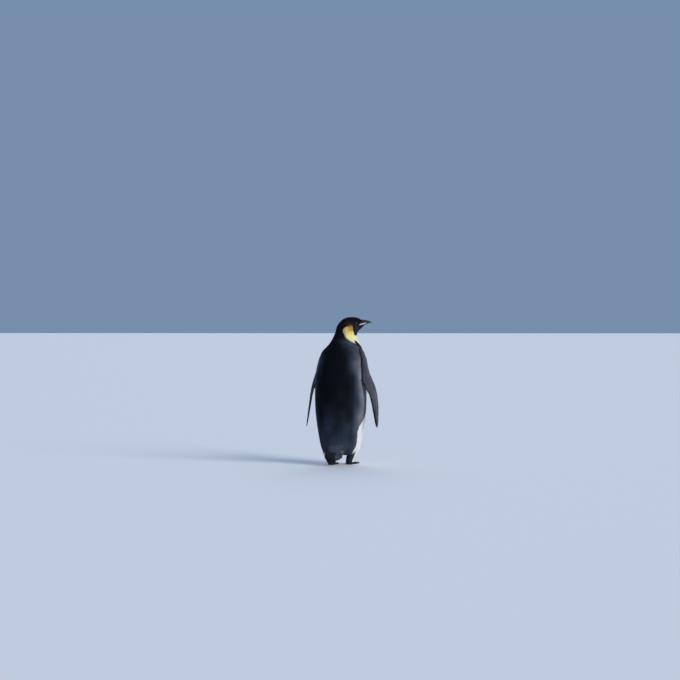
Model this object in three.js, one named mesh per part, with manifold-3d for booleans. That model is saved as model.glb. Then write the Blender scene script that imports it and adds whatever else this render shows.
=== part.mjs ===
// A standing emperor penguin at life size: trunk, neck, head, bill, eyes, flippers, legs, feet, claws and
// tail, each one closed solid. Millimetres, +Z up. The bird faces -Y, so its left side is +X.
//
// The trunk, neck and head are one loft of ribs. A rib runs from the outline of the back to the outline of
// the front and is as wide as the bird is there. The ribs of the neck turn one after another, so that the
// head looks over the bird's right shoulder. The loft is then parted by thin cuts.
import * as THREE from "three";
import { mergeVertices } from "three/addons/utils/BufferGeometryUtils.js";
import Module from "manifold-3d";

const wasm = await Module();
wasm.setup();

// ---------------------------------------------------------------- driving dimensions
const GAP = 0.3; // between pieces that meet
const FLAT = 0; // the level of the soles

const HEAD_TURN = THREE.MathUtils.degToRad(70); // to the bird's right
const TURN_FROM = 760; // heights between which the neck turns
const TURN_TO = 925;
const LEAN = { side: -25, forward: 50 }; // how far the head stands from the trunk's own axis
const LEAN_FROM = 655;
const LEAN_TO = 940;

// name, [forward, height] on the back, [forward, height] on the front, half width
const RIBS = [
  ["vent", [-22, 76], [12, 70], 14],
  ["crotch", [-100, 77], [90, 68], 84],
  ["haunch", [-131, 104], [132, 88], 121],
  ["rump", [-142, 152], [153, 130], 140],
  ["loin", [-147, 212], [167, 190], 154],
  ["belly", [-151, 290], [178, 276], 169],
  ["waist", [-154, 380], [180, 374], 180],
  ["ribcage", [-155, 475], [177, 475], 184],
  ["chest", [-154, 570], [170, 572], 182],
  ["breast", [-151, 655], [160, 660], 174],
  ["shoulder", [-145, 722], [150, 726], 166],
  ["collar", [-135, 778], [139, 780], 158],
  ["neck base", [-119, 832], [121, 830], 130],
  ["neck", [-98, 880], [98, 874], 94],
  ["neck top", [-84, 916], [82, 905], 74],
  ["nape", [-73, 950], [80, 923], 66],
  ["poll", [-65, 980], [82, 933], 59],
  ["occiput", [-47, 1008], [86, 942], 55],
  ["back of crown", [-20, 1033], [91, 949], 52],
  ["crown", [14, 1046], [97, 956], 49],
  ["brow", [53, 1048], [105, 963], 43],
  ["lore", [82, 1043.5], [114, 971], 33],
  ["forehead", [100, 1036], [123, 979], 23],
  ["bill root", [110, 1030], [130, 986], 16],
];
const RIB_FULLNESS = 2.12; // 2 is a plain ellipse, more is fuller at the corners
const TRUNK_ENDS = 11; // the collar's rib
const HEAD_STARTS = 15; // the nape's rib

const EYE = { radius: 10.5, proud: 3.2, rib: 19.8, round: 0.243 };

// [forward, ridge height, edge height, half width] along the upper bill, and the same for the lower one
const UPPER_BILL = [
  [86, 1031, 998, 15],
  [106, 1031, 1002, 13.5],
  [135, 1028, 1009.5, 9.5],
  [162, 1021.8, 1012.5, 6.5],
  [184, 1012, 1007, 4],
  [194, 1005.8, 1002.5, 2.2],
  [197.5, 1002.6, 1001, 0.9],
];
const LOWER_BILL = [
  [88, 975, 997.4, 14],
  [108, 980, 1001.5, 12.5],
  [134, 991, 1008.9, 9],
  [158, 1001, 1011.9, 6],
  [176, 1005.5, 1008.8, 3.6],
  [184, 1005.8, 1007, 1.4],
];
const BILL_EDGE_FLAT = 0.25; // how much narrower a half is at the far side of its cutting edge
// the middle of the plate, its half length and half height, and how far it stands out of the bill and goes in
const BILL_PLATE = { forward: 130, height: 1001.5, long: 37, tall: 5.4, rise: 0.26, proud: 0.5, deep: 1.4 };
const BILL_PLATE_CUT = { side: 14, wide: 12, taper: 0.35 };

// [outward, forward, height, chord, thickness] of the left flipper, from the shoulder to the tip
const FLIPPER = [
  [96, -2, 828, 38, 28],
  [118, -5, 804, 62, 42],
  [135, -10, 750, 84, 44],
  [152, -7, 690, 92, 38],
  [171, -3, 640, 98, 32],
  [189, 0, 596, 102, 27],
  [205, 3, 552, 100, 22],
  [217, 2, 500, 84, 18],
  [227, -2, 430, 70, 15],
  [236, -9, 360, 54, 12.5],
  [242, -16, 305, 41, 10],
  [246, -19, 283, 28, 8],
  [247, -21, 267, 10, 5],
];
const FLIPPER_TOE_OUT = THREE.MathUtils.degToRad(32); // the leading edge stands further out than the other
// how much further out a flipper is held at the shoulder, the elbow and the hand, and the shares of its length
// where it goes from the one to the next
const FLIPPER_HOLD = { left: [0, 0, 0], right: [37, 14, 34] };
const UPPER_ARM = { from: 0.08, to: 0.36 };
const ELBOW = { from: 0.4, to: 0.68 };
const FLIPPER_FULL = { middle: 0.62, fore: 0.38 }; // how round the section is, and how much more so in front

// [height, half width, half depth] of the feathered leg
const LEG = [
  [205, 44, 62],
  [150, 52, 66],
  [100, 52, 61],
  [62, 44, 52],
  [38, 38, 45],
  [24, 34, 40],
];
const LEG_FULL = { left: 1.05, right: 0.85 }; // the feathers of one leg stand out more than the other's
const HIP = { left: 78, right: 101, height: 190 };
const ANKLE = {
  left: { side: 53, forward: -34 },
  right: { side: 58, forward: 44 },
};
const ANKLE_HEIGHT = 24;
const LEG_BEND = 2; // how late the leg comes in from the hip to the ankle

// half width, half length and half height of the two lumps of the foot, and [forward, height] of each
const HEEL = { size: [26, 38, 17], at: [2, 11] };
const INSTEP = { size: [26, 33, 26], at: [-2, 14] };
// length without the claw, angle outwards from the middle of the foot, and radius at the root and the end
const TOES = {
  inner: { length: 67, angle: -23, root: 11.5, end: 7.6 },
  middle: { length: 88, angle: 0, root: 12.5, end: 8.2 },
  outer: { length: 80, angle: 22, root: 11.5, end: 7.6 },
};
const HIND_TOE = { length: 22, angle: -62, root: 6, end: 4 };
const HIND_TOE_ROOT = [-17, 4, 3];
const TOE = { squash: 0.84, arch: 4, blunt: 0.72 }; // height as a share of width, rise at the root, and end
const FOOT_TOE_OUT = 3; // degrees outwards
const CLAW = { length: 24, root: 5.6, droop: 34 };
const HIND_CLAW = { length: 10, root: 3.2, droop: 26 };
const CLAW_SECTION = { wide: 0.82, tall: 1.15, taper: 0.9, curve: 1.3 };
const CLAW_SET = { in: 2, up: 1.6 }; // how far a claw goes into its toe, and how high it sits there
const WEB = { low: 2.4, high: 5.4, reach: 0.9, cove: 0.74, heel: 12 };

const TAIL = { feathers: 9, spread: 29, bend: -7, root: [-118, 176], tip: [-184, 31], width: 22, thick: 4.4 };
// how far the outer feathers start to each side and above the middle one, and how much shorter they are
const TAIL_FAN = { side: 30, up: 6, shorter: 0.12 };

// ---------------------------------------------------------------- materials
const finish = (color, roughness) => new THREE.MeshStandardMaterial({ color, roughness, metalness: 0 });
const PLUMAGE_BLACK = finish(0x14171d, 0.62);
const PLUMAGE_SLATE = finish(0x2a303a, 0.66);
const HORN_BLACK = finish(0x16161a, 0.35);
const HORN_PINK = finish(0xd8b0a8, 0.35);
const SKIN_BLACK = finish(0x1b1b1f, 0.55);
const EYE_BROWN = finish(0x1c0f08, 0.08);

// ---------------------------------------------------------------- solids and meshes
// A closed geometry as a solid. One that is wound inside out is turned first.
function solid(geometry) {
  const bare = new THREE.BufferGeometry();
  bare.setAttribute("position", geometry.getAttribute("position"));
  bare.setIndex(geometry.getIndex());
  const merged = mergeVertices(bare, 1e-3);
  const vertProperties = merged.getAttribute("position").array;
  const triVerts = new Uint32Array(merged.getIndex().array);
  const build = () => new wasm.Manifold(new wasm.Mesh({ numProp: 3, vertProperties, triVerts }));
  const made = build();
  if (made.volume() > 0) return made;
  for (let i = 0; i < triVerts.length; i += 3) {
    [triVerts[i], triVerts[i + 1]] = [triVerts[i + 1], triVerts[i]];
  }
  return build();
}

function mesh(name, made, material) {
  const { numProp, numVert, vertProperties, triVerts } = made.getMesh();
  const position = new Float32Array(numVert * 3);
  for (let i = 0; i < numVert; i++) {
    position.set(vertProperties.subarray(i * numProp, i * numProp + 3), i * 3);
  }
  const geometry = new THREE.BufferGeometry();
  geometry.setAttribute("position", new THREE.BufferAttribute(position, 3));
  geometry.setIndex(new THREE.BufferAttribute(triVerts, 1));
  geometry.computeVertexNormals();
  const shown = new THREE.Mesh(geometry, material);
  shown.name = name;
  return shown;
}

// A closed skin over rings of points. Each ring is closed by its own end cap at the first and last ring.
function lofted(rings) {
  const round = rings[0].length;
  const points = rings.flat();
  const index = [];
  for (let i = 0; i + 1 < rings.length; i++) {
    for (let k = 0; k < round; k++) {
      const next = (k + 1) % round;
      const [a, b] = [i * round + k, i * round + next];
      const [c, d] = [b + round, a + round];
      const shorter = points[a].distanceTo(points[c]) < points[b].distanceTo(points[d]) + 1;
      if (shorter) index.push(a, b, c, a, c, d);
      else index.push(a, b, d, b, c, d);
    }
  }
  for (const [ring, turned] of [[0, true], [rings.length - 1, false]]) {
    const middle = points.length;
    points.push(rings[ring].reduce((sum, p) => sum.clone().add(p)).multiplyScalar(1 / round));
    for (let k = 0; k < round; k++) {
      const [a, b] = [ring * round + k, ring * round + ((k + 1) % round)];
      index.push(...(turned ? [b, a, middle] : [a, b, middle]));
    }
  }
  const geometry = new THREE.BufferGeometry().setFromPoints(points);
  geometry.setIndex(index);
  return solid(geometry);
}

const UP = new THREE.Vector3(0, 0, 1);

// A large block on one side of a plane, for cuts.
function halfSpace(point, normal) {
  const size = 3000;
  const block = new THREE.BoxGeometry(size, size, size).translate(0, 0, size / 2);
  const turn = new THREE.Quaternion().setFromUnitVectors(UP, normal.clone().normalize());
  block.applyQuaternion(turn).translate(point.x, point.y, point.z);
  return solid(block);
}

const aboveFloor = halfSpace(new THREE.Vector3(0, 0, FLAT), UP);

// A smooth curve through the numbers of one column of a table, at a share of its length from 0 to 1.
function column(rows, pick) {
  const curve = new THREE.SplineCurve(rows.map((row) => new THREE.Vector2(pick(row), 0)));
  return (share) => curve.getPoint(share).x;
}

// ---------------------------------------------------------------- trunk, neck and head
const backOut = column(RIBS, (r) => r[1][0]);
const backUp = column(RIBS, (r) => r[1][1]);
const frontOut = column(RIBS, (r) => r[2][0]);
const frontUp = column(RIBS, (r) => r[2][1]);
const halfWidth = column(RIBS, (r) => r[3]);
const LAST_RIB = RIBS.length - 1;

const rounded = (value) => Math.sign(value) * Math.abs(value) ** (2 / RIB_FULLNESS);

// A point given as left, forward and up on the bird's upright column, after the neck's turn and lean.
function posed(left, forward, up, level) {
  const turn = HEAD_TURN * THREE.MathUtils.smoothstep(level, TURN_FROM, TURN_TO);
  const lean = THREE.MathUtils.smoothstep(level, LEAN_FROM, LEAN_TO);
  return new THREE.Vector3(
    LEAN.side * lean + left * Math.cos(turn) - forward * Math.sin(turn),
    -LEAN.forward * lean - left * Math.sin(turn) - forward * Math.cos(turn),
    up,
  );
}

// The surface at a rib, which may lie between two named ones, and round it from the back over the left side.
function bodyPoint(rib, round) {
  const share = THREE.MathUtils.clamp(rib / LAST_RIB, 0, 1);
  const [b, bz, f, fz] = [backOut(share), backUp(share), frontOut(share), frontUp(share)];
  const along = -rounded(Math.cos(2 * Math.PI * round));
  const left = rounded(Math.sin(2 * Math.PI * round)) * halfWidth(share);
  const level = (bz + fz) / 2;
  return posed(left, (b + f) / 2 + ((f - b) / 2) * along, level + ((fz - bz) / 2) * along, level);
}

// The direction straight out of the surface there.
function bodyNormal(rib, round) {
  const step = 0.02;
  const along = bodyPoint(rib + step, round).sub(bodyPoint(rib - step, round));
  const across = bodyPoint(rib, round + step).sub(bodyPoint(rib, round - step));
  return along.cross(across).normalize();
}

// The plane of a rib, with its normal towards the bill.
function ribPlane(rib) {
  const [back, left, front] = [0, 0.25, 0.5].map((round) => bodyPoint(rib, round));
  const normal = left.clone().sub(back).cross(front.clone().sub(back)).normalize();
  if (normal.dot(bodyPoint(rib + 0.5, 0.25).sub(left)) < 0) normal.negate();
  return { point: back.add(front).multiplyScalar(0.5), normal };
}

function bodyLoft(grow = 0) {
  const around = 30;
  const perRib = 2;
  const rings = Array.from({ length: LAST_RIB * perRib + 1 }, (_, i) =>
    Array.from({ length: around }, (_, k) => {
      const [rib, round] = [i / perRib, k / around];
      return bodyPoint(rib, round).addScaledVector(bodyNormal(rib, round), grow);
    }),
  );
  return lofted(rings);
}

function beyond(rib, clear) {
  const { point, normal } = ribPlane(rib);
  return halfSpace(point.clone().addScaledVector(normal, clear), normal);
}

const body = bodyLoft();
const bodyWithGap = bodyLoft(GAP);
const trunk = body.subtract(beyond(TRUNK_ENDS, 0));
const neck = body.intersect(beyond(TRUNK_ENDS, GAP)).subtract(beyond(HEAD_STARTS, 0));
let head = body.intersect(beyond(HEAD_STARTS, GAP));

// ---------------------------------------------------------------- eyes
const headLevel = RIBS[LAST_RIB][1][1];

function eyeCentre(side) {
  const round = side > 0 ? EYE.round : 1 - EYE.round;
  return bodyPoint(EYE.rib, round).addScaledVector(bodyNormal(EYE.rib, round), EYE.proud - EYE.radius);
}

function ball(centre, radius) {
  return solid(new THREE.SphereGeometry(radius, 12, 7).translate(centre.x, centre.y, centre.z));
}

const eyes = {};
for (const [name, side] of [["left", 1], ["right", -1]]) {
  const centre = eyeCentre(side);
  eyes[name] = ball(centre, EYE.radius);
  head = head.subtract(ball(centre, EYE.radius + GAP));
}

// ---------------------------------------------------------------- bill
// One half of the bill: its ridge is far from the edge where the halves close, and its edge is nearly flat.
function billHalf(rows, grow = 0) {
  const [forward, ridge, edge, half] = [0, 1, 2, 3].map((i) => column(rows, (r) => r[i]));
  const around = 12;
  const steps = 8;
  const rings = Array.from({ length: steps + 1 }, (_, i) => {
    const share = i / steps;
    const tall = ridge(share) - edge(share);
    const width = half(share) + grow;
    return Array.from({ length: around }, (_, k) => {
      const angle = (2 * Math.PI * k) / around;
      const rise = Math.cos(angle);
      const outer = Math.sign(tall) * grow;
      const up = rise > 0 ? rise * (tall + outer) : rise * outer;
      const narrowed = rise > 0 ? 1 : 1 - BILL_EDGE_FLAT * rise * rise;
      const left = width * narrowed * Math.sin(angle);
      return posed(left, forward(share), edge(share) + up, headLevel);
    });
  });
  return lofted(rings);
}

// The long horny plate on each side of the lower bill, let into it.
function plateRegion(side, grow = 0) {
  const { forward, height, long, tall, rise } = BILL_PLATE;
  const lens = new THREE.SphereGeometry(1, 12, 7);
  lens.scale(BILL_PLATE_CUT.wide, long + grow, tall + grow);
  const position = lens.getAttribute("position");
  for (let i = 0; i < position.count; i++) {
    const left = position.getX(i) + side * BILL_PLATE_CUT.side;
    const ahead = position.getY(i);
    const taper = 1 - (BILL_PLATE_CUT.taper * ahead) / long;
    const up = height + position.getZ(i) * taper + rise * ahead;
    const place = posed(left, forward + ahead, up, headLevel);
    position.setXYZ(i, place.x, place.y, place.z);
  }
  return solid(lens);
}

const upperBill = billHalf(UPPER_BILL);
const wholeLowerBill = billHalf(LOWER_BILL).subtract(billHalf(UPPER_BILL, GAP));
const plateShell = billHalf(LOWER_BILL, BILL_PLATE.proud).subtract(billHalf(LOWER_BILL, -BILL_PLATE.deep));
const plateBed = billHalf(LOWER_BILL, -BILL_PLATE.deep - GAP);
const plates = {};
let lowerBill = wholeLowerBill;
for (const [name, side] of [["left", 1], ["right", -1]]) {
  plates[name] = plateRegion(side).intersect(plateShell);
  lowerBill = lowerBill.subtract(plateRegion(side, GAP).subtract(plateBed));
}
head = head.subtract(billHalf(UPPER_BILL, GAP)).subtract(billHalf(LOWER_BILL, BILL_PLATE.proud + GAP));

// ---------------------------------------------------------------- flippers
// A flipper's section is round at its leading edge and thin at the other.
function flipper(side, [shoulder, elbow, hand]) {
  const columns = [0, 1, 2, 3, 4].map((i) => column(FLIPPER, (r) => r[i]));
  const at = (share) => {
    const [out, forward, up] = columns.map((c) => c(share));
    const along = ({ from, to }) => THREE.MathUtils.smoothstep(share, from, to);
    const hold = shoulder + (elbow - shoulder) * along(UPPER_ARM) + (hand - elbow) * along(ELBOW);
    return new THREE.Vector3(side * (out + hold), -forward, up);
  };
  const around = 12;
  const steps = 12;
  const rings = Array.from({ length: steps + 1 }, (_, i) => {
    const share = i / steps;
    const [chord, thick] = [columns[3](share), columns[4](share)];
    const along = at(Math.min(1, share + 0.02)).sub(at(Math.max(0, share - 0.02))).normalize();
    const lead = new THREE.Vector3(side * Math.sin(FLIPPER_TOE_OUT), -Math.cos(FLIPPER_TOE_OUT), 0);
    lead.addScaledVector(along, -lead.dot(along)).normalize();
    const outward = lead.clone().cross(along).multiplyScalar(side).normalize();
    return Array.from({ length: around }, (_, k) => {
      const angle = (2 * Math.PI * k) / around;
      const fore = Math.cos(angle);
      const full = FLIPPER_FULL.middle + FLIPPER_FULL.fore * fore;
      return at(share)
        .addScaledVector(lead, (chord / 2) * fore)
        .addScaledVector(outward, (thick / 2) * Math.sin(angle) * full);
    });
  });
  return lofted(rings).subtract(bodyWithGap);
}

// ---------------------------------------------------------------- legs
function leg(side, hip, ankle, full) {
  const [up, wide, deep] = [0, 1, 2].map((i) => column(LEG, (r) => r[i]));
  const around = 14;
  const steps = 6;
  const rings = Array.from({ length: steps + 1 }, (_, i) => {
    const share = i / steps;
    const height = up(share);
    const down = THREE.MathUtils.clamp((HIP.height - height) / (HIP.height - ANKLE_HEIGHT), 0, 1);
    const x = side * THREE.MathUtils.lerp(hip, ankle.side, down ** LEG_BEND);
    const y = -ankle.forward * down;
    return Array.from({ length: around }, (_, k) => {
      const angle = (2 * Math.PI * k) / around;
      const aside = full * wide(share) * Math.cos(angle);
      return new THREE.Vector3(x + aside, y + deep(share) * Math.sin(angle), height);
    });
  });
  return lofted(rings).subtract(bodyWithGap);
}

// ---------------------------------------------------------------- feet and claws
// A toe lies on the floor from the middle of the foot outwards.
function toe({ length, root, end }, grow = 0) {
  const around = 8;
  const steps = 4;
  const rings = Array.from({ length: steps + 1 }, (_, i) => {
    const share = i / steps;
    const last = i === steps;
    const radius = THREE.MathUtils.lerp(root, end, share) * (last ? TOE.blunt : 1) + grow;
    const height = radius * TOE.squash + (1 - share) ** 2 * TOE.arch;
    const back = -length * share - (last ? grow : 0);
    return Array.from({ length: around }, (_, k) => {
      const angle = (2 * Math.PI * k) / around;
      return new THREE.Vector3(radius * Math.cos(angle), back, height + radius * Math.sin(angle));
    });
  });
  return lofted(rings);
}

// A claw curves down from the toe's end to just over the floor.
function claw({ length, root, droop }) {
  const around = 6;
  const steps = 4;
  const bend = THREE.MathUtils.degToRad(droop);
  const radius = length / bend;
  const rings = Array.from({ length: steps + 1 }, (_, i) => {
    const share = i / steps;
    const turn = bend * share;
    const thick = root * (1 - CLAW_SECTION.taper * share ** CLAW_SECTION.curve);
    return Array.from({ length: around }, (_, k) => {
      const angle = (2 * Math.PI * k) / around;
      const aside = Math.cos(angle) * thick * CLAW_SECTION.wide;
      const rise = Math.sin(angle) * thick * CLAW_SECTION.tall;
      const forward = -radius * Math.sin(turn) - rise * Math.sin(turn);
      const up = -radius * (1 - Math.cos(turn)) + rise * Math.cos(turn);
      return new THREE.Vector3(aside, forward, up);
    });
  });
  return lofted(rings);
}

// The skin between two toes, with a hollow front edge.
function web(first, second) {
  const onToe = ({ length, angle }) => {
    const turn = THREE.MathUtils.degToRad(angle);
    return new THREE.Vector2(Math.sin(turn), -Math.cos(turn)).multiplyScalar(length * WEB.reach);
  };
  const [a, b] = [onToe(first), onToe(second)];
  const cove = a.clone().add(b).multiplyScalar(WEB.cove / 2 / WEB.reach);
  const outline = new THREE.Shape([new THREE.Vector2(0, WEB.heel), a]);
  outline.quadraticCurveTo(cove.x, cove.y, b.x, b.y);
  outline.closePath();
  const depth = WEB.high - WEB.low;
  const sheet = new THREE.ExtrudeGeometry(outline, { depth, bevelEnabled: false, curveSegments: 4 });
  return solid(sheet.translate(0, 0, WEB.low));
}

function turnedBy(made, degrees) {
  return made.rotate([0, 0, degrees]);
}

function lump({ size, at: [forward, height] }) {
  return solid(new THREE.SphereGeometry(1, 12, 7).scale(...size).translate(0, -forward, height));
}

// Everything of one foot about the middle of its ankle, for a left foot: outwards is +X.
function footAndClaws() {
  let foot = lump(HEEL).add(lump(INSTEP));
  const claws = {};
  for (const [name, shape] of Object.entries({ ...TOES, hind: HIND_TOE })) {
    const hind = name === "hind";
    const place = (made) => turnedBy(made, shape.angle).translate(hind ? HIND_TOE_ROOT : [0, 0, 0]);
    foot = foot.add(place(toe(shape)));
    const nailUp = shape.end * TOE.squash + CLAW_SET.up;
    const nail = claw(hind ? HIND_CLAW : CLAW).translate([0, -shape.length + CLAW_SET.in, nailUp]);
    claws[name] = place(nail.subtract(toe(shape, GAP)));
  }
  foot = foot.add(web(TOES.inner, TOES.middle)).add(web(TOES.middle, TOES.outer));
  return { foot: foot.intersect(aboveFloor), claws };
}

// ---------------------------------------------------------------- tail
// Stiff narrow feathers side by side, the middle ones longest, that grow out of a thick root.
function tail() {
  const [rootForward, rootUp] = TAIL.root;
  const [tipForward, tipUp] = TAIL.tip;
  const long = Math.hypot(tipForward - rootForward, tipUp - rootUp);
  const down = Math.atan2(rootUp - tipUp, tipForward - rootForward);
  let made = null;
  for (let i = 0; i < TAIL.feathers; i++) {
    const aside = (2 * i) / (TAIL.feathers - 1) - 1;
    const length = long * (1 - TAIL_FAN.shorter * aside * aside);
    const steps = 3;
    const around = 6;
    const rings = Array.from({ length: steps + 1 }, (_, k) => {
      const share = k / steps;
      const half = (TAIL.width / 2) * Math.min(1, 0.35 + 3 * (1 - share)) * (share === 1 ? 0.55 : 1);
      const thick = TAIL.thick * (2.6 - 1.9 * share);
      return Array.from({ length: around }, (_, j) => {
        const angle = (2 * Math.PI * j) / around;
        return new THREE.Vector3(half * Math.cos(angle), -length * share, (thick / 2) * Math.sin(angle));
      });
    });
    const feather = lofted(rings)
      .rotate([0, 0, (aside * TAIL.spread) / 2])
      .translate([aside * TAIL_FAN.side, 0, aside * aside * TAIL_FAN.up]);
    made = made ? made.add(feather) : feather;
  }
  const turned = made.rotate([0, 0, TAIL.bend]).rotate([THREE.MathUtils.radToDeg(down), 0, 0]);
  return turned.translate([0, -rootForward, rootUp]).subtract(bodyWithGap);
}

// ---------------------------------------------------------------- the bird
const bird = new THREE.Group();
bird.add(
  mesh("trunk", trunk, PLUMAGE_SLATE),
  mesh("neck", neck, PLUMAGE_BLACK),
  mesh("head", head, PLUMAGE_BLACK),
  mesh("bill_upper", upperBill, HORN_BLACK),
  mesh("bill_lower", lowerBill, HORN_BLACK),
  mesh("tail", tail(), PLUMAGE_BLACK),
);

const { foot, claws } = footAndClaws();
const aboveAnkle = halfSpace(new THREE.Vector3(0, 0, ANKLE_HEIGHT - GAP), UP);
for (const [name, side] of [["left", 1], ["right", -1]]) {
  const ankle = ANKLE[name];
  bird.add(
    mesh(`eye_${name}`, eyes[name], EYE_BROWN),
    mesh(`bill_plate_${name}`, plates[name], HORN_PINK),
    mesh(`flipper_${name}`, flipper(side, FLIPPER_HOLD[name]), PLUMAGE_SLATE),
  );
  const place = (made) => {
    const handed = side > 0 ? made : made.mirror([1, 0, 0]);
    return turnedBy(handed, side * FOOT_TOE_OUT).translate([side * ankle.side, -ankle.forward, 0]);
  };
  bird.add(
    mesh(`leg_${name}`, leg(side, HIP[name], ankle, LEG_FULL[name]), PLUMAGE_SLATE),
    mesh(`foot_${name}`, place(foot).subtract(aboveAnkle), SKIN_BLACK),
  );
  for (const [toeName, made] of Object.entries(claws)) {
    bird.add(mesh(`claw_${name}_${toeName}`, place(made), HORN_BLACK));
  }
}

// The origin is on the floor under the middle of the whole bird.
const box = new THREE.Box3().setFromObject(bird);
bird.position.set(-(box.min.x + box.max.x) / 2, -(box.min.y + box.max.y) / 2, -box.min.z);

export default bird;
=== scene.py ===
import math

import bmesh
import bpy
import numpy as np
from mathutils import Matrix, Vector
from mathutils.bvhtree import BVHTree


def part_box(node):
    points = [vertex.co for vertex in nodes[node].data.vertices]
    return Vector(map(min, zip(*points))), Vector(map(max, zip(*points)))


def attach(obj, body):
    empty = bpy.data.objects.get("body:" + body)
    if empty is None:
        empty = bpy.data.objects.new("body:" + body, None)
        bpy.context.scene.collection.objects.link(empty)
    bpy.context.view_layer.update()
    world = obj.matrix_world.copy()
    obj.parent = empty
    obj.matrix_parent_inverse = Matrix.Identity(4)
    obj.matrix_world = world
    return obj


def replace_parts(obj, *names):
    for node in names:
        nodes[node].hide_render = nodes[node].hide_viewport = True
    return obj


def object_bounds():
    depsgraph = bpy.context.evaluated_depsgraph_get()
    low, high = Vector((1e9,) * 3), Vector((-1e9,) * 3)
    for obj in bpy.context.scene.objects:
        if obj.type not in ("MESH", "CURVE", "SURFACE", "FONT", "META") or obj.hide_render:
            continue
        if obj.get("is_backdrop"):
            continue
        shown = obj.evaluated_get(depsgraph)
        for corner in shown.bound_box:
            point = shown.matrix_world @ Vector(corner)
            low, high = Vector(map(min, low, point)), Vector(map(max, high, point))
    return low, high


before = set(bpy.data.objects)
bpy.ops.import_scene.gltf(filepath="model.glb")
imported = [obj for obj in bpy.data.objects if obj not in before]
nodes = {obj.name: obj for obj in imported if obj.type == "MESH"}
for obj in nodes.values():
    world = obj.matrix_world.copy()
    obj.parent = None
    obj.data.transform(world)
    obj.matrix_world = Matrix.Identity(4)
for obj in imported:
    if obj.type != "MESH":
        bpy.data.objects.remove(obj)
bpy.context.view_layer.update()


# ---- The bird's own axes
# The trunk stands upright and faces -Y. Above the shoulders the neck turns to the bird's right and leans
# over, so every height has its own heading, and places on the body are told as left, forward and up from it.
STANCE = np.array([0.0170, -0.00244])  # where the trunk's axis stands on the floor
HEAD_LEAN = np.array([-0.025, -0.050])  # how far the head's axis stands from it


def smooth(low, high, value):
    t = np.clip((np.asarray(value, float) - low) / (high - low), 0, 1)
    return t * t * (3 - 2 * t)


def heading(up):
    return math.radians(70) * smooth(0.760, 0.925, up)


def axis_at(up):
    lean = smooth(0.655, 0.940, up)
    return STANCE + np.multiply.outer(lean, HEAD_LEAN)


def to_body(points):
    turn = heading(points[:, 2])
    off = points[:, :2] - axis_at(points[:, 2])
    left = off[:, 0] * np.cos(turn) - off[:, 1] * np.sin(turn)
    forward = -off[:, 0] * np.sin(turn) - off[:, 1] * np.cos(turn)
    return np.stack([left, forward, points[:, 2]], -1)


def from_head(left, forward, up):
    """A place told from the head's own axes, where the neck's turn is complete."""
    turn = heading(1.0)
    x, y = STANCE + HEAD_LEAN
    x = x + left * np.cos(turn) - forward * np.sin(turn)
    y = y - left * np.sin(turn) - forward * np.cos(turn)
    return np.stack(np.broadcast_arrays(x, y, up), -1)


# ---- The skin under the coat
# One hide of leather over the whole body, from the bill's root to the toes, with no seam. It is drawn over
# the solids of flesh, shrunk smooth, and lies below the tips of the coat by the coat's depth.
def places(mesh):
    co = np.empty(len(mesh.vertices) * 3)
    mesh.vertices.foreach_get("co", co)
    return co.reshape(-1, 3)


def merged(names, cuts=0, keep=None):
    """A closed mesh of copies of CAD nodes, each with its triangles joined up."""
    whole = bmesh.new()
    for name in names:
        part = bmesh.new()
        part.from_mesh(nodes[name].data)
        bmesh.ops.remove_doubles(part, verts=part.verts, dist=1e-5)
        if keep:
            keep(name, part)
        for _ in range(cuts):
            bmesh.ops.subdivide_edges(part, edges=part.edges, cuts=1, use_grid_fill=True)
        copy = bpy.data.meshes.new(name + "_copy")
        part.to_mesh(copy)
        part.free()
        whole.from_mesh(copy)
        bpy.data.meshes.remove(copy)
    bmesh.ops.triangulate(whole, faces=whole.faces)
    mesh = bpy.data.meshes.new("merged")
    whole.to_mesh(mesh)
    whole.free()
    return mesh


STUMP_END = 0.112  # forward from the head's axis


def bill_root_only(name, part):
    """The bill is horn. Only the stump that the head's skin closes on is kept, cut off across the bill."""
    if name.startswith("bill"):
        ahead = from_head(0.0, 1.0, 0.0) - from_head(0.0, 0.0, 0.0)
        cut = bmesh.ops.bisect_plane(
            part, geom=part.verts[:] + part.edges[:] + part.faces[:], plane_co=from_head(0.0, STUMP_END, 1.0),
            plane_no=ahead, clear_outer=True,
        )
        bmesh.ops.holes_fill(part, edges=[e for e in cut["geom_cut"] if isinstance(e, bmesh.types.BMEdge)])


SIDES = (("left", 1), ("right", -1))
LIMBS = [f"{part}_{side}" for part in ("flipper", "leg", "foot") for side, _ in SIDES]
flesh = ["trunk", "neck", "head"] + LIMBS
inside = merged(flesh + ["eye_left", "eye_right", "bill_upper", "bill_lower"], cuts=2, keep=bill_root_only)

# A low swelling of flesh and down covers the roots of the tail feathers, and leans as they do.
RUMP_MIDDLE, RUMP_HALF, RUMP_LEAN = (0.0090, 0.1330, 0.1420), (0.054, 0.0155, 0.052), math.radians(24.5)
leaning = Matrix.Translation(RUMP_MIDDLE) @ Matrix.Rotation(RUMP_LEAN, 4, "X")
rump = bmesh.new()
rump.from_mesh(inside)
bmesh.ops.create_uvsphere(
    rump, u_segments=48, v_segments=24, radius=1.0, matrix=leaning @ Matrix.Diagonal((*RUMP_HALF, 1.0)),
)
bmesh.ops.triangulate(rump, faces=rump.faces)
rump.to_mesh(inside)
rump.free()

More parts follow.
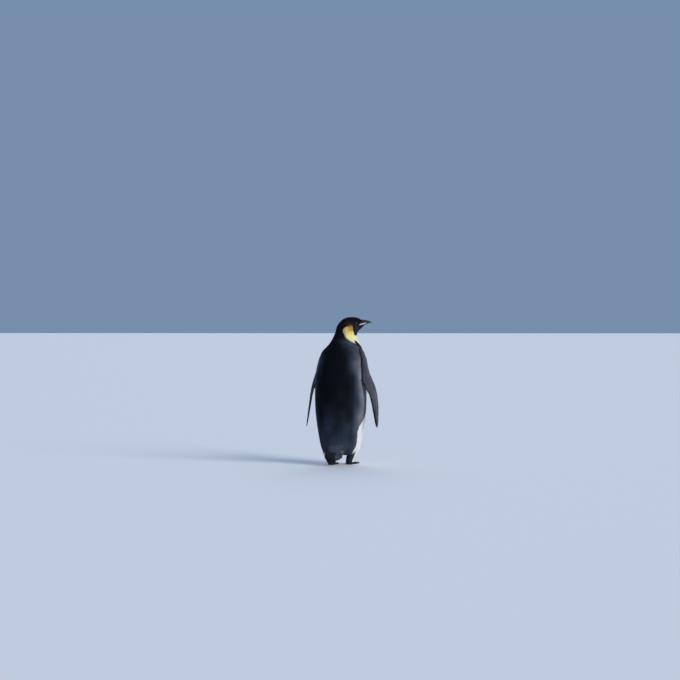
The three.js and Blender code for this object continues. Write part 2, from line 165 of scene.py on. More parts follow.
# The hide is woven in cells of one size. So that they come out small on the head, the feet and the thin
# flippers, the body is stretched there first and let back after.
CELL = 0.0061
HEAD_FINER, FEET_FINER, FLIPPERS_FINER = 1.7, 1.5, 1.5  # how much the body is stretched there, less one
up_steps = np.linspace(-0.05, 1.15, 1201)
zoom = 1 + HEAD_FINER * smooth(0.80, 0.93, up_steps) + FEET_FINER * (1 - smooth(0.035, 0.10, up_steps))
stretched_up = np.concatenate([[0], np.cumsum((zoom[1:] + zoom[:-1]) / 2 * np.diff(up_steps))])
out_steps = np.linspace(0, 0.5, 501)
widen = 1 + FLIPPERS_FINER * smooth(0.150, 0.185, out_steps)
stretched_out = np.concatenate([[0], np.cumsum((widen[1:] + widen[:-1]) / 2 * np.diff(out_steps))])


def stretch(points):
    out = points[:, 0] - STANCE[0]
    x = np.sign(out) * np.interp(np.abs(out), out_steps, stretched_out)
    by = np.interp(points[:, 2], up_steps, zoom)
    return np.stack([x * by, points[:, 1] * by, np.interp(points[:, 2], up_steps, stretched_up)], -1)


def let_back(points):
    up = np.interp(points[:, 2], stretched_up, up_steps)
    by = np.interp(up, up_steps, zoom)
    x = points[:, 0] / by
    out = np.sign(x) * np.interp(np.abs(x), stretched_out, out_steps)
    return np.stack([out + STANCE[0], points[:, 1] / by, up], -1)


inside.vertices.foreach_set("co", stretch(places(inside)).ravel())
skin = bpy.data.objects.new("skin", inside)
bpy.context.scene.collection.objects.link(skin)
weave = skin.modifiers.new("weave", "REMESH")
weave.mode = "VOXEL"
weave.voxel_size = CELL
hide = bpy.data.meshes.new_from_object(skin.evaluated_get(bpy.context.evaluated_depsgraph_get()))
skin.modifiers.clear()
skin.data = hide
hide.name = "skin"
hide.vertices.foreach_set("co", let_back(places(hide)).ravel())

# The lids need a closer weave than the rest of the face.
eyes = {}
for side, _ in SIDES:
    low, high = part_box(f"eye_{side}")
    eyes[side] = ((low + high) / 2, (high.z - low.z) / 2)
close = bmesh.new()
close.from_mesh(hide)
LID_REACHES = (0.019, 0.014)
for reach in LID_REACHES:
    near = [
        e for e in close.edges
        if min((e.verts[0].co - centre).length for centre, _ in eyes.values()) < reach
    ]
    bmesh.ops.subdivide_edges(close, edges=near, cuts=1, use_grid_fill=True)
close.to_mesh(hide)
close.free()
co = places(hide)
edges = np.empty(len(hide.edges) * 2, int)
hide.edges.foreach_get("vertices", edges)
edges = edges.reshape(-1, 2)
valence = np.bincount(edges.ravel(), minlength=len(co))


def relaxed(values, times, weight=1.0):
    """Each value drawn towards the mean of its neighbours on the hide, a number of times."""
    values = values.copy().reshape(len(co), -1)
    for _ in range(times):
        sums = np.stack([
            np.bincount(edges[:, 0], column[edges[:, 1]], len(co))
            + np.bincount(edges[:, 1], column[edges[:, 0]], len(co))
            for column in values.T
        ], -1)
        values += np.reshape(weight, (-1, 1)) * 0.5 * (sums / valence[:, None] - values)
    return values


def shaped(points):
    """The hide's own normals at these places."""
    hide.vertices.foreach_set("co", points.ravel())
    hide.update()
    normal = np.empty(len(points) * 3)
    hide.vertex_normals.foreach_get("vector", normal)
    return normal.reshape(-1, 3)


# Which part of the body each place on the hide belongs to: the nearest solid of flesh.
owner_names, owner_tris, owner_points = [], [], []
for name in flesh:
    part = merged([name])
    part.calc_loop_triangles()
    tris = np.empty(len(part.loop_triangles) * 3, int)
    part.loop_triangles.foreach_get("vertices", tris)
    owner_tris.append(tris.reshape(-1, 3) + sum(map(len, owner_points)))
    owner_points.append(places(part))
    owner_names += [name] * len(part.loop_triangles)
    bpy.data.meshes.remove(part)
solids = BVHTree.FromPolygons(np.concatenate(owner_points).tolist(), np.concatenate(owner_tris).tolist())
owner = np.array([owner_names[solids.find_nearest(Vector(p))[2]] for p in co])
kind_of_part = [name.split("_")[0] for name in owner]
on = {name: owner == name for name in flesh}
on_flipper = {side: on[f"flipper_{side}"] for side, _ in SIDES}
on_foot = on["foot_left"] | on["foot_right"]
on_leg = on["leg_left"] | on["leg_right"]

# The woven steps are smoothed out, more on the broad trunk than on the thin parts. Each pass that draws in is
# followed by one that lets out, so that the hide doesn't shrink.
LET_OUT = -1.04
weight = np.ones(len(co))
weight[on_flipper["left"] | on_flipper["right"]] = 0.35
weight[on_foot] = 0.6
weight = relaxed(weight, 6)[:, 0]
for _ in range(14):
    co = relaxed(co, 1, weight)
    co = relaxed(co, 1, LET_OUT * weight)
co = relaxed(co, 1, weight)

# Where a flipper grows out of the shoulder, the coat runs over the join in one slope.
JOIN_REACH = 0.040
for side, _ in SIDES:
    arm = co[on_flipper[side]]
    from_top = np.linalg.norm(co - arm[arm[:, 2].argmax()], axis=1)
    co = relaxed(co, 80, np.exp(-((from_top / JOIN_REACH) ** 2)))

# In front, the neck runs into the breast with no step.
BREAST_UP = 0.805
breast = np.exp(-(((co[:, 2] - BREAST_UP) / JOIN_REACH) ** 2)) * smooth(0.0, 0.05, -co[:, 1])
co = relaxed(co, 70, breast)

# The coat is deepest on the trunk, thin on the face and the flippers, and the feet are bare.
COAT_DEPTH = {"trunk": 0.0042, "neck": 0.0034, "head": 0.0019, "leg": 0.0040, "flipper": 0.0008, "foot": 0.0}
BARE_BELOW = 0.026
depth = relaxed(np.array([COAT_DEPTH[kind] for kind in kind_of_part]), 24)[:, 0]
body = to_body(co)
bill_ahead = body[:, 1] + 0.35 * (1.0 - body[:, 2])
depth *= 1 - 0.55 * smooth(0.085, 0.118, bill_ahead) * (body[:, 2] > 0.95)
depth[body[:, 2] < BARE_BELOW] = 0
normal = shaped(co)
co = relaxed(co - normal * depth[:, None], 2, 0.6)

# From the corner of the mouth the feathers draw back from the plate of the lower bill, and the skin goes in
# beside it. [forward, half width] of the plate's outer face there
GAPE = np.array([
    [0.092, 0.0262], [0.100, 0.0232], [0.108, 0.0199], [0.116, 0.0168], [0.124, 0.0140], [0.134, 0.0102],
])
BELOW_PLATE = 0.0012  # how far the skin lies in from that face


def plate_middle(forward):
    """How high the middle of the plate is at a distance forward."""
    return 1.0015 + 0.26 * (forward - 0.130)


body = to_body(co)
beside = np.abs(body[:, 2] - plate_middle(body[:, 1]))
gape = (1 - smooth(0.0045, 0.0135, beside)) * smooth(0.086, 0.098, body[:, 1]) * (body[:, 1] < 0.140)
wanted = np.interp(body[:, 1], GAPE[:, 0], GAPE[:, 1]) - BELOW_PLATE
inward = np.minimum(0, wanted - np.abs(body[:, 0])) * gape * np.sign(body[:, 0])
head_left = from_head(1.0, 0.0, 0.0) - from_head(0.0, 0.0, 0.0)
co += np.outer(inward, head_left)
normal = shaped(co)


# The lids: a rim that follows the eyeball round the opening, with a second, lower fold outside it. Inside the
# opening the skin goes in behind the ball. Each is told as [how far out from the pupil, how thick, how high].
RIM, FOLD = (0.0076, 0.0009, 0.0011), (0.0106, 0.0010, 0.0006)
OPENING_LONG, OPENING_TALL = 1.10, 0.92  # the opening's shape, against a circle
for side, _ in SIDES:
    centre, radius = eyes[side]
    off = co - np.array(centre)
    near = np.linalg.norm(off, axis=1) < 0.024
    facing = normal[near].mean(0)
    facing /= np.linalg.norm(facing)
    ahead = from_head(0.0, 1.0, 0.0) - from_head(0.0, 0.0, 0.0)
    ahead -= facing * (ahead @ facing)
    ahead /= np.linalg.norm(ahead)
    above = np.cross(facing, ahead)
    high = off @ facing
    across = np.hypot(off @ ahead, off @ above)
    opening = np.hypot(off @ ahead / OPENING_LONG, off @ above / OPENING_TALL)
    ball = np.sqrt(np.maximum(radius**2 - across**2, 0.1 * radius**2))
    rim = ball
    for at, thick, high_by in (RIM, FOLD):
        rim = rim + high_by * np.exp(-(((opening - at) / thick) ** 2))
    drawn = 1 - smooth(0.0095, 0.0145, opening)
    target = high + (rim - high) * drawn
    target -= (0.0016 + target - ball) * (1 - smooth(0.0058, 0.0068, opening))
    move = near & (high > 0)
    co[move] += np.outer(target - high, facing)[move]
    eyes[side] = (centre, radius, facing, ahead)
normal = shaped(co)


# ---- Markings
# Black head, slate back, white belly, and a golden patch behind each ear that fades down into the breast.
# Skin and coat carry the same colours, told by how far round from the back a place is, and how high. Some
# painted shade and painted highlight is mixed into the slate, the cheek and the rear of the pale neck.
body = to_body(co)
flesh_only = on["trunk"] | on["neck"] | on["head"]
levels = np.arange(0.12, 1.04, 0.012)
reach = []
for level in levels:
    ring = body[flesh_only & (np.abs(body[:, 2] - level) < 0.008)]
    reach.append([ring[:, 1].min(), ring[:, 1].max(), ring[:, 0].min(), ring[:, 0].max()])


def evened(column):
    return np.convolve(np.pad(column, 2, mode="edge"), np.ones(5) / 5, "valid")


reach = np.apply_along_axis(evened, 0, np.array(reach))
rear, front, right, left = (np.interp(body[:, 2], levels, column) for column in reach.T)
girth = (front - rear + left - right) / 4
aside = (body[:, 0] - (left + right) / 2) / ((left - right) / 2)
ahead = (body[:, 1] - (rear + front) / 2) / ((front - rear) / 2)
# 0 along the middle of the back, 180 along the middle of the belly
round_back = np.degrees(np.arctan2(np.abs(aside), -ahead))
up = body[:, 2]
forward = body[:, 1]

# where the white begins, in degrees from the back, at each height
WHITE_FROM = np.array([
    [0.000, 66], [0.050, 66], [0.100, 70], [0.150, 74], [0.200, 70], [0.250, 67], [0.290, 70],
    [0.330, 84], [0.360, 94], [0.400, 104], [0.440, 109], [0.500, 111], [0.600, 113], [0.700, 117],
    [0.763, 126], [0.799, 138], [0.830, 147], [0.850, 143], [0.870, 139], [0.884, 136], [0.893, 132],
])
noise = np.random.default_rng(7)
ragged = relaxed(noise.normal(size=len(co)), 3)[:, 0] * 0.0022
fuzzy = relaxed(noise.normal(size=len(co)), 9)[:, 0] * 0.02


def beyond(edge):
    """How far a place lies in front of an edge given in degrees from the back at each height."""
    return np.radians(round_back - np.interp(up, edge[:, 0], edge[:, 1])) * girth


in_white = smooth(-0.0015, 0.0015, beyond(WHITE_FROM) + ragged)
white = in_white * (up < 0.8925)

# The patch behind the ear fades out at the back and below, in front of and above the black line: where the
# fade begins and where it is over. On the head its rear edge is sharper, told as [height, forward], and so is
# the face's.
FADE_FROM = np.array([[0.862, 104], [0.866, 103], [0.880, 96], [0.895, 90], [0.909, 81], [0.925, 84]])
FADE_TO = np.array([[0.862, 150], [0.866, 138], [0.880, 117], [0.895, 108], [0.909, 101], [0.925, 98]])
fade = smooth(0, 1, beyond(FADE_FROM) / np.maximum(beyond(FADE_FROM) - beyond(FADE_TO), 1e-4) + fuzzy * 4)
fade *= smooth(0.858, 0.872, up)
PATCH_REAR = np.array([
    [0.915, -0.002], [0.925, -0.004], [0.947, -0.020], [0.960, -0.020], [0.972, -0.014], [0.982, 0.003],
    [0.990, 0.022],
])
rear_edge = np.interp(up, PATCH_REAR[:, 0], PATCH_REAR[:, 1])
soft = 0.003 + 0.009 * (1 - smooth(0.915, 0.940, up)) + 0.004 * smooth(0.968, 0.985, up)
patch = smooth(-1, 1, (forward - rear_edge + ragged) / soft)
roof = 0.991 - 0.10 * (forward - 0.030) ** 2 / 0.03
patch *= smooth(-0.0065, 0.0035, roof - up + ragged)
face_edge = np.where(up > 0.927, 0.054 + (0.965 - up) * 0.13, 0.059 + (0.927 - up) * 3.2)
behind_face = smooth(-0.002, 0.002, face_edge - forward + ragged)
throat = 1 - smooth(0.9195, 0.9265, up + ragged)
to_head = smooth(0.906, 0.922, up)
white = np.maximum(white, fade * (1 - to_head) + patch * to_head) * np.maximum(behind_face, throat)

# The black line that parts the slate from the white, from the side of the neck over the shoulder. It lies
# behind the white, broad at the base of the neck and drawn out to nothing at both ends.
LINE_REAR = np.array([
    [0.33, 84], [0.45, 107], [0.55, 107], [0.70, 107], [0.763, 109], [0.799, 111], [0.830, 113], [0.842, 114],
    [0.856, 116], [0.870, 118], [0.884, 123], [0.893, 130],
])
line = smooth(-0.004, 0.004, beyond(LINE_REAR) + ragged) * (1 - in_white)
line *= (1 - smooth(0.888, 0.893, up + ragged)) * (up > 0.33)


def mixed(first, second, share):
    share = np.reshape(share, (-1, 1))
    return np.asarray(first) * (1 - share) + np.asarray(second) * share


def blotched(strength):
    """Faint lighter and darker clouds, as a factor at each place."""
    return np.exp(strength * np.clip(cloudy, -2.5, 2.5))[:, None]


BLACK = (0.0026, 0.0030, 0.0056)
WHITE = (0.69, 0.69, 0.69)
# the slate's hue where it is dark and where it is pale, times how light it is
DARK_SLATE, PALE_SLATE = np.array([0.72, 1.0, 1.62]), np.array([0.93, 1.0, 1.17])
# how light the slate is in thousandths, by degrees from the middle of the back and by height: near black
# behind, palest beside the black line, and greyer low on the rump. The bird's slate is darker down the back
# and paler at the sides, but here much more so: the near black down the middle of the back is partly painted
# shade, and the pale band beside the black line is partly painted highlight.
SLATE_ROUND = [0, 27, 36, 43, 48, 54, 61, 68, 77, 88, 108]
SLATE_RISING = [0.13, 0.18, 0.26, 0.36, 0.44, 0.52, 0.64, 0.74, 0.80, 0.85]
SLATE_WITH_PAINTED_LIGHT = np.array([
    [40, 38, 36, 25, 18, 20, 26, 32, 38, 40, 40],
    [34, 31, 28, 22, 18, 22, 30, 38, 46, 48, 48],
    [22, 19, 16, 16, 19, 34, 54, 70, 84, 90, 90],
    [15, 9, 6, 7, 14, 34, 66, 110, 112, 95, 90],
    [5.5, 4, 4, 5, 8, 15, 28, 70, 122, 150, 140],
    [3.5, 3, 3, 5, 9, 20, 44, 118, 150, 150, 145],
    [3, 3, 4, 7, 11, 32, 76, 165, 165, 145, 135],
    [2.5, 4, 20, 38, 54, 90, 128, 142, 142, 132, 130],
    [2.2, 3, 6, 10, 15, 26, 40, 50, 60, 64, 64],
    [2.2, 2.4, 3, 4, 6, 12, 20, 30, 40, 44, 44],
]) / 1000
by_height = np.array([np.interp(round_back, SLATE_ROUND, row) for row in SLATE_WITH_PAINTED_LIGHT])
step_up = np.interp(up, SLATE_RISING, np.arange(len(SLATE_RISING)))
row_below = np.minimum(step_up.astype(int), len(SLATE_RISING) - 2)
above_row = step_up - row_below
each_place = np.arange(len(co))
lightness = by_height[row_below, each_place] * (1 - above_row)
lightness += by_height[row_below + 1, each_place] * above_row
cloudy = relaxed(noise.normal(size=len(co)), 70)[:, 0]
cloudy /= cloudy.std()
hue = mixed(DARK_SLATE, PALE_SLATE, smooth(0.008, 0.075, lightness))
# the slate, with its painted shade down the back's middle and painted highlight beside the black line
dark = hue * (lightness[:, None] * blotched(0.20))
dark = mixed(dark, BLACK, smooth(0.855, 0.915, up))

# Ahead of the patch the cheek is lifted from black to a dull purplish grey: painted sheen. Above the patch
# and along its front the black is stained brown.
CHEEK_SHEEN, BROWN = (0.017, 0.017, 0.027), (0.040, 0.013, 0.006)
painted_cheek_sheen = smooth(0.058, 0.072, forward) * smooth(0.925, 0.945, up) * (1 - smooth(0.990, 1.008, up))
dark = mixed(dark, CHEEK_SHEEN, painted_cheek_sheen)
brown = np.exp(-(((forward - 0.026) / 0.026) ** 2) - ((up - 1.001) / 0.013) ** 2)
past_ends = np.maximum(0, np.abs(up - 0.962) - 0.020)
brown += 0.7 * np.exp(-(((forward - 0.053) / 0.0045) ** 2) - (past_ends / 0.010) ** 2)
dark = mixed(dark, BROWN, 0.8 * np.clip(brown, 0, 1))

# The white turns cream up the breast and yellow up the throat: [colour, height it begins at, height it is
# full at].
PALE_STEPS = (
    ((0.74, 0.725, 0.56), 0.76, 0.87), ((0.69, 0.675, 0.42), 0.860, 0.903),
    ((0.74, 0.65, 0.29), 0.900, 0.919), ((0.68, 0.54, 0.15), 0.919, 0.945),
)
GOLD, AMBER, REAR_NECK_SHADE = (0.38, 0.225, 0.025), (0.16, 0.075, 0.018), (0.27, 0.265, 0.21)
pale = WHITE
for shade_here, begins, full in PALE_STEPS:
    pale = mixed(pale, shade_here, smooth(begins, full, up))
gold = np.exp(-((np.minimum(0, forward - 0.037) / 0.026) ** 2)) * smooth(0.938, 0.962, up)
pale = mixed(pale, GOLD, gold)
pale = mixed(pale, AMBER, smooth(0.974, 0.990, up))
# Behind the patch the pale of the neck is greyed: painted shade.
painted_rear_shade = smooth(0.010, -0.014, forward) * smooth(0.880, 0.905, up) * (up < 0.98)
pale = mixed(pale, REAR_NECK_SHADE, painted_rear_shade * 0.9)
tint = mixed(dark, pale, white)
tint = mixed(tint, BLACK, line)

# A leg is dark behind and on the inner side, and white in front and outside. Each stands on its own ankle.
ANKLES = {"left": (0.0700, 0.0316), "right": (-0.0410, -0.0464)}
LEG_RADIUS = 0.042
DARK_HALF, DARK_MIDDLE = 62, -14  # half width and middle of the dark side, in degrees outwards from behind
leg_slate = 0.024 * DARK_SLATE
for side, out in SIDES:
    foot_low, foot_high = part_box(f"foot_{side}")
    middle_x = (foot_low.x + foot_high.x) / 2
    middle_y = ANKLES[side][1]
    round_leg = np.degrees(np.arctan2((co[:, 0] - middle_x) * out, co[:, 1] - middle_y))
    from_edge = np.radians(DARK_HALF - np.abs(round_leg - DARK_MIDDLE)) * LEG_RADIUS + ragged
    leg_tint = mixed(WHITE, leg_slate, smooth(-0.002, 0.002, from_edge))
    low_on_leg = (1 - smooth(0.085, 0.125, up)) * ((co[:, 0] - STANCE[0]) * out > 0)
    tint = mixed(tint, leg_tint, low_on_leg)

# The flippers are slate outside and white inside, with a dark tip and dark edges. They are held with the
# leading edge turned out.
TOE_OUT = math.radians(32)
OUTER_REAR, OUTER_FRONT = (0.045, 0.047, 0.060), (0.076, 0.078, 0.098)
TRAILING_EDGE, LEADING_EDGE = (0.0060, 0.0070, 0.0110), (0.014, 0.015, 0.021)
from_rim = np.ones(len(co))  # metres from a flipper's nearer edge
for side, out in SIDES:
    here = on_flipper[side]
    tip, top = co[here][:, 2].min(), co[here][:, 2].max()
    chord = co[:, :2] @ np.array([math.sin(TOE_OUT) * out, -math.cos(TOE_OUT)])
    steps_down = np.linspace(tip, top, 26)
    rings = [chord[here & (np.abs(up - height) < 0.013)] for height in steps_down]
    trailing = np.interp(up, steps_down, [ring.min() for ring in rings])
    leading = np.interp(up, steps_down, [ring.max() for ring in rings])
    from_rim[here] = np.minimum(chord - trailing, leading - chord)[here]
    face_on = normal @ np.array([math.cos(TOE_OUT) * out, math.sin(TOE_OUT), 0])
    inner = smooth(0.0, -0.3, face_on) * smooth(0.0025, 0.0050, from_rim)
    inner *= smooth(tip + 0.012, tip + 0.040, up + ragged)
    outer = mixed(OUTER_REAR, OUTER_FRONT, smooth(0.3, 0.8, (chord - trailing) / (leading - trailing)))
    outer = outer * blotched(0.16)
    outer = mixed(outer, TRAILING_EDGE, 1 - smooth(0.009, 0.021, chord - trailing))
    outer = mixed(outer, LEADING_EDGE, 1 - smooth(0.002, 0.006, leading - chord))
    flipper_tint = mixed(outer, WHITE, inner)
    share = relaxed(here.astype(float), 5)[:, 0]
    tint = mixed(tint, flipper_tint, smooth(0.35, 0.65, share))

# Under the tail the down is a mottled grey-white, and the bare feet are black.
VENT_DARK, VENT_PALE, FOOT_BLACK = (0.050, 0.054, 0.066), (0.26, 0.27, 0.29), (0.011, 0.0125, 0.017)
vent = smooth(0.076, 0.052, np.abs(body[:, 0])) * smooth(0.136, 0.110, up + 4 * ragged)
vent *= (forward < 0.02) * (up > 0.03) * (1 - smooth(0.116, 0.126, -forward))
mottled = mixed(VENT_DARK, VENT_PALE, smooth(-0.0012, 0.0012, ragged))
tint = mixed(tint, mottled, vent * ~on_leg * 0.85)
tint = mixed(tint, FOOT_BLACK, on_foot)
tint = np.clip(tint, 0, 1)
colour = hide.attributes.new("tint", "FLOAT_COLOR", "POINT")
colour.data.foreach_set("color", np.concatenate([tint, np.ones((len(co), 1))], 1).ravel())


def surface(name, rough, sheen=0.0, gloss=0.5):
    """A new material, its node tree and its shader."""
    made = bpy.data.materials.new(name)
    made.use_nodes = True
    shader = made.node_tree.nodes["Principled BSDF"]
    shader.inputs["Roughness"].default_value = rough
    shader.inputs["Sheen Weight"].default_value = sheen
    shader.inputs["Specular IOR Level"].default_value = gloss
    return made, made.node_tree, shader


def added(tree, kind, inputs=None, **properties):
    """A new node in a tree. Its properties are set first, then its inputs, each to a value or by a link."""
    new = tree.nodes.new(kind)
    for key, value in properties.items():
        setattr(new, key, value)
    for key, value in (inputs or {}).items():
        if isinstance(value, bpy.types.NodeSocket):
            tree.links.new(value, new.inputs[key])
        else:
            new.inputs[key].default_value = value
    return new


hide_finish, tree, shader = surface("hide", 0.7, gloss=0.15)
paint = added(tree, "ShaderNodeAttribute", attribute_name="tint")
tree.links.new(paint.outputs["Color"], shader.inputs["Base Color"])
hide.materials.clear()
hide.materials.append(hide_finish)
for polygon in hide.polygons:
    polygon.use_smooth = True
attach(skin, "root")
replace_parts(skin, *flesh)


# ---- The coat
# Small stiff vanes that overlap like slates, each a closed blade of a few faces set in the skin. They lie
# along the coat from the bill backwards and down, are longest on the trunk and smallest on the face and
# flippers.
def toward(points, direction, normal):
    flat = direction - normal * np.sum(direction * normal, -1, keepdims=True)
    return flat / np.maximum(np.linalg.norm(flat, axis=-1, keepdims=True), 1e-6)


bill_root = from_head(0.0, 0.125, 1.008)
from_bill = co - bill_root
away = np.linalg.norm(from_bill, axis=1, keepdims=True)
down = np.array([0.0, 0.0, -1.0])
lie = from_bill / away * (1 - smooth(0.05, 0.20, away)) + down * smooth(0.05, 0.20, away)
for side, out in SIDES:
    here = on_flipper[side][:, None]
    to_rear = np.array([-math.sin(TOE_OUT) * out, math.cos(TOE_OUT), 0.0])
    back = 0.30 * smooth(0.003, 0.020, from_rim)[:, None] * to_rear
    lie = np.where(here, np.array([0.22 * out, 0.0, -0.95]) + back, lie)
lie = relaxed(lie, 12)
lie = toward(co, lie, normal)
lie[~np.isfinite(lie).all(1)] = down

# width, length and rise of a vane, smaller towards the bill, the eyes, the flippers' edges and the ankles
VANE_SIZE = {
    "trunk": (0.0072, 0.0180, 0.0043), "neck": (0.0060, 0.0140, 0.0035), "head": (0.0042, 0.0078, 0.0019),
    "leg": (0.0058, 0.0125, 0.0040), "flipper": (0.0036, 0.0070, 0.0011), "foot": (0.0020, 0.0040, 0.0012),
}
size = relaxed(np.array([VANE_SIZE[kind] for kind in kind_of_part]), 24)
size *= (0.62 + 0.38 * smooth(0.002, 0.012, from_rim))[:, None]
size *= (0.72 + 0.28 * smooth(0.030, 0.060, up))[:, None]
face_share = smooth(0.085, 0.015, away[:, 0]) * (up > 0.93)
size *= (1 - 0.45 * face_share)[:, None]
for centre, *_ in eyes.values():
    from_eye = np.linalg.norm(co - np.array(centre), axis=1)
    size *= (1 - 0.60 * smooth(0.022, 0.0125, from_eye))[:, None]

WORKING = ("lie", "size", "pore", "bed")  # what only the growing coat reads
for name, values in (("lie", lie), ("size", size), ("pore", co)):
    hide.attributes.new(name, "FLOAT_VECTOR", "POINT").data.foreach_set("vector", values.ravel())
hide.attributes.new("bed", "BOOLEAN", "FACE")

# one vane, a unit long, wide and high, from its root at the origin to its tip at +Y
VANE_ALONG = [0, 0.42, 0.42, 0.42, 0.82, 0.82, 0.82, 1.0]  # how far along it each of its corners counts as
vane = bpy.data.meshes.new("vane")
vane.from_pydata(
    [(0, 0, -0.12), (-0.44, 0.42, 0.46), (0.44, 0.42, 0.46), (0, 0.42, 0.64),
     (-0.40, 0.80, 0.80), (0.40, 0.80, 0.80), (0, 0.80, 0.95), (0, 1.0, 0.97)],
    [],
    [(0, 3, 1), (0, 2, 3), (1, 3, 6), (1, 6, 4), (3, 2, 5), (3, 5, 6), (4, 6, 7), (6, 5, 7),
     (0, 1, 2), (1, 5, 2), (1, 4, 5), (4, 7, 5)],
)
vane.attributes.new("along", "FLOAT", "POINT").data.foreach_set("value", VANE_ALONG)
vane_object = bpy.data.objects.new("vane", vane)

# Roots are strewn over the bed a spacing apart. Each vane stands on its root, is laid along the coat, is set
# a little askew, and is scaled by the size there and by up to 7% of its own.
coat_tree = bpy.data.node_groups.new("coat", "GeometryNodeTree")
inputs = {}
for name, kind in (
    ("Geometry", "Geometry"), ("Vane", "Object"), ("Spacing", "Float"), ("Ruffle", "Float"), ("Seed", "Int"),
    ("Finish", "Material"),
):
    inputs[name] = coat_tree.interface.new_socket(name, in_out="INPUT", socket_type="NodeSocket" + kind)
coat_tree.interface.new_socket("Geometry", in_out="OUTPUT", socket_type="NodeSocketGeometry")
given = added(coat_tree, "NodeGroupInput").outputs


def named(attribute, kind):
    read = added(coat_tree, "GeometryNodeInputNamedAttribute", {"Name": attribute}, data_type=kind)
    return read.outputs["Attribute"]


scatter = added(coat_tree, "GeometryNodeDistributePointsOnFaces", {
    "Mesh": given["Geometry"], "Selection": named("bed", "BOOLEAN"), "Distance Min": given["Spacing"],
    "Density Max": 1.2e6, "Seed": given["Seed"],
}, distribute_method="POISSON")
stand = added(coat_tree, "FunctionNodeAlignRotationToVector", {"Vector": scatter.outputs["Normal"]}, axis="Z")
lay = added(coat_tree, "FunctionNodeAlignRotationToVector", {
    "Rotation": stand.outputs["Rotation"], "Vector": named("lie", "FLOAT_VECTOR"),
}, axis="Y", pivot_axis="Z")
most = added(
    coat_tree, "ShaderNodeVectorMath", {0: (1.0, 1.6, 1.6), "Scale": given["Ruffle"]}, operation="SCALE",
).outputs["Vector"]
least = added(coat_tree, "ShaderNodeVectorMath", {0: most, "Scale": -1}, operation="SCALE").outputs["Vector"]
askew = added(coat_tree, "FunctionNodeRandomValue", {
    0: least, 1: most, "Seed": given["Seed"],
}, data_type="FLOAT_VECTOR")
turned_by = added(coat_tree, "FunctionNodeEulerToRotation", {0: askew.outputs[0]})
set_askew = added(coat_tree, "FunctionNodeRotateRotation", {
    "Rotation": lay.outputs["Rotation"], "Rotate By": turned_by.outputs["Rotation"],
}, rotation_space="LOCAL")
grown = added(coat_tree, "FunctionNodeRandomValue", {2: 0.93, 3: 1.07}, data_type="FLOAT")
scaled = added(coat_tree, "ShaderNodeVectorMath", {
    0: named("size", "FLOAT_VECTOR"), "Scale": grown.outputs[1],
}, operation="SCALE")
shade = added(coat_tree, "FunctionNodeRandomValue", {"Seed": 11}, data_type="FLOAT")
keep = added(coat_tree, "GeometryNodeStoreNamedAttribute", {
    "Name": "shade", "Geometry": scatter.outputs["Points"], "Value": shade.outputs[1],
}, data_type="FLOAT", domain="POINT")
fetch = added(coat_tree, "GeometryNodeObjectInfo", {"Object": given["Vane"]})
set_in = added(coat_tree, "GeometryNodeInstanceOnPoints", {
    "Points": keep.outputs["Geometry"], "Instance": fetch.outputs["Geometry"],
    "Rotation": set_askew.outputs["Rotation"], "Scale": scaled.outputs["Vector"],
})
real = added(coat_tree, "GeometryNodeRealizeInstances", {"Geometry": set_in.outputs["Instances"]})
dress = added(coat_tree, "GeometryNodeSetMaterial", {
    "Geometry": real.outputs["Geometry"], "Material": given["Finish"],
})
added(coat_tree, "NodeGroupOutput", {"Geometry": dress.outputs["Geometry"]})

# Each vane takes the tint at its root, a little lighter or darker than its neighbours, and with a frosted
# tip, as a penguin's back has. Both show less on the white.
plume, tree, shader = surface("plume", 0.70, sheen=0.015, gloss=0.05)
paint = added(tree, "ShaderNodeAttribute", attribute_name="tint").outputs["Color"]
own_shade = added(tree, "ShaderNodeAttribute", attribute_name="shade").outputs["Fac"]
along_vane = added(tree, "ShaderNodeAttribute", attribute_name="along").outputs["Fac"]
vary = added(tree, "ShaderNodeMapRange", {"Value": own_shade, "To Min": 0.85, "To Max": 1.15})
frost = added(tree, "ShaderNodeMapRange", {
    "Value": along_vane, "From Min": 0.45, "From Max": 1.0, "To Min": 0.80, "To Max": 1.40,
})
both = added(tree, "ShaderNodeMath", {
    0: vary.outputs["Result"], 1: frost.outputs["Result"],
}, operation="MULTIPLY")
tone = added(tree, "ShaderNodeRGBToBW", {"Color": paint})
much = added(tree, "ShaderNodeMapRange", {
    "Value": tone.outputs["Val"], "From Min": 0.03, "From Max": 0.40, "To Min": 1.0, "To Max": 0.15,
})
less_one = added(tree, "ShaderNodeMath", {0: both.outputs["Value"], 1: 1.0}, operation="SUBTRACT")
by_tone = added(tree, "ShaderNodeMath", {
    0: less_one.outputs["Value"], 1: much.outputs["Result"], 2: 1.0,
}, operation="MULTIPLY_ADD")
lit = added(tree, "ShaderNodeVectorMath", {0: paint, "Scale": by_tone.outputs["Value"]}, operation="SCALE")
no_lighter = added(tree, "ShaderNodeVectorMath", {
    0: lit.outputs["Vector"], 1: (0.88, 0.88, 0.86),
}, operation="MINIMUM")
tree.links.new(no_lighter.outputs["Vector"], shader.inputs["Base Color"])

# On its chart, the coat is unrolled: round the trunk, neck, head or limb, and along it. Each vane has a small
# patch of the chart at its root's place.
VANE_POINTS, VANE_PATCH = 8, 0.003
corners = np.array([
    (0.5, 0), (0.08, 0.42), (0.92, 0.42), (0.5, 0.42), (0.1, 0.82), (0.9, 0.82), (0.5, 0.82), (0.5, 1.0),
]) - 0.5
head_side = from_head(1.0, 0.0, 0.0) - from_head(0.0, 0.0, 0.0)
head_axis = from_head(0.0, 0.0, 0.90) - bill_root
head_over = np.cross(head_axis / np.linalg.norm(head_axis), head_side)


